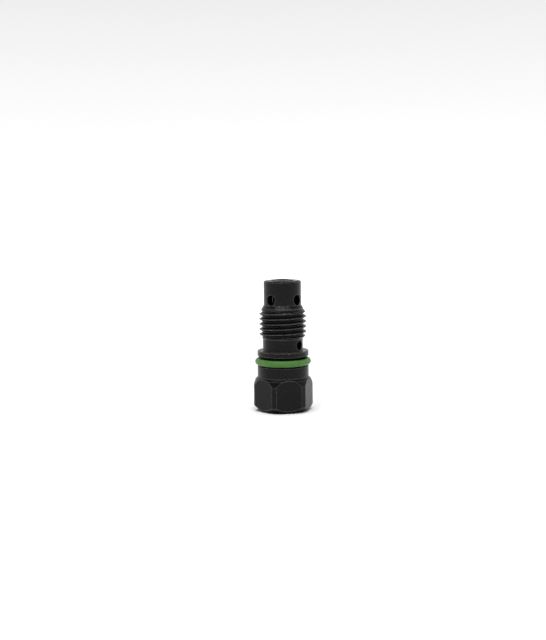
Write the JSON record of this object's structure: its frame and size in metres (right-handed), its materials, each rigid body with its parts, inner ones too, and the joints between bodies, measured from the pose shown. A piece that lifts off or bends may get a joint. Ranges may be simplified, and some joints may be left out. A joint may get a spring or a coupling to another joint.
{
  "type": "cartridge valve",
  "caption": "Screw-in hydraulic cartridge valve with a hexagon head, a seal ring, a cavity thread and side ports in its neck and nose.",
  "frame": {"origin": "centre of the footprint on the plane of the hexagon's flat face", "axes": "+Z along the cartridge from the hexagon to the nose; two flats of the hexagon face -Y and +Y"},
  "size_m": [0.0176, 0.0166, 0.0388],
  "materials": {
    "black_oxide": "satin black oxide, oiled",
    "green_rubber": "satin",
    "black_rubber": "satin",
    "hardened_steel": "ground",
    "nitrided_steel": "ground and nitrided",
    "spring_steel": "drawn wire",
    "brass": "turned",
    "stainless_mesh": "punched sheet",
    "ptfe": "matte",
    "nylon": "matte"
  },
  "bodies": {
    "body": {"valve_body": "black_oxide", "body_o_ring": "green_rubber", "nose_bush": "black_oxide", "pilot_seat": "hardened_steel", "seat_o_ring": "black_rubber", "bias_spring": "spring_steel", "retaining_ring": "spring_steel"},
    "spool": {"main_spool": "nitrided_steel", "orifice_jet": "brass", "filter_screen": "stainless_mesh", "screen_retainer": "hardened_steel"},
    "poppet": {"pilot_poppet": "hardened_steel", "spring_guide": "hardened_steel"},
    "spring_carrier": {"spring_seat": "hardened_steel", "spring_shim": "hardened_steel", "pilot_spring": "spring_steel", "thrust_ball": "hardened_steel"},
    "adjuster": {"adjusting_screw": "black_oxide", "adjuster_o_ring": "black_rubber", "adjuster_backup_ring": "ptfe", "locking_pellet": "nylon"}
  },
  "joints": [
    {"name": "spool_shift", "type": "slide", "parent": "body", "child": "spool", "axis": [0, 0, -1], "range_m": [0, 0.0015], "stiffness_N_per_m": 3000, "springref_m": -0.001, "deforming": ["bias_spring"]},
    {"name": "poppet_lift", "type": "slide", "parent": "body", "child": "poppet", "axis": [0, 0, -1], "range_m": [0, 0.0003], "stiffness_N_per_m": 30000, "springref_m": -0.001},
    {"name": "adjust_lift", "type": "slide", "parent": "body", "child": "spring_carrier", "axis": [0, 0, 1], "range_m": [-0.0005, 0.001], "deforming": ["pilot_spring"]},
    {"name": "adjust_turn", "type": "hinge", "parent": "spring_carrier", "child": "adjuster", "pos_m": [0, 0, 0.0021], "axis": [0, 0, 1], "range_deg": [-180, 360]}
  ],
  "couplings": [
    {"joint": "adjust_turn", "follows": "adjust_lift", "rad_per_m": 6283.2}
  ]
}
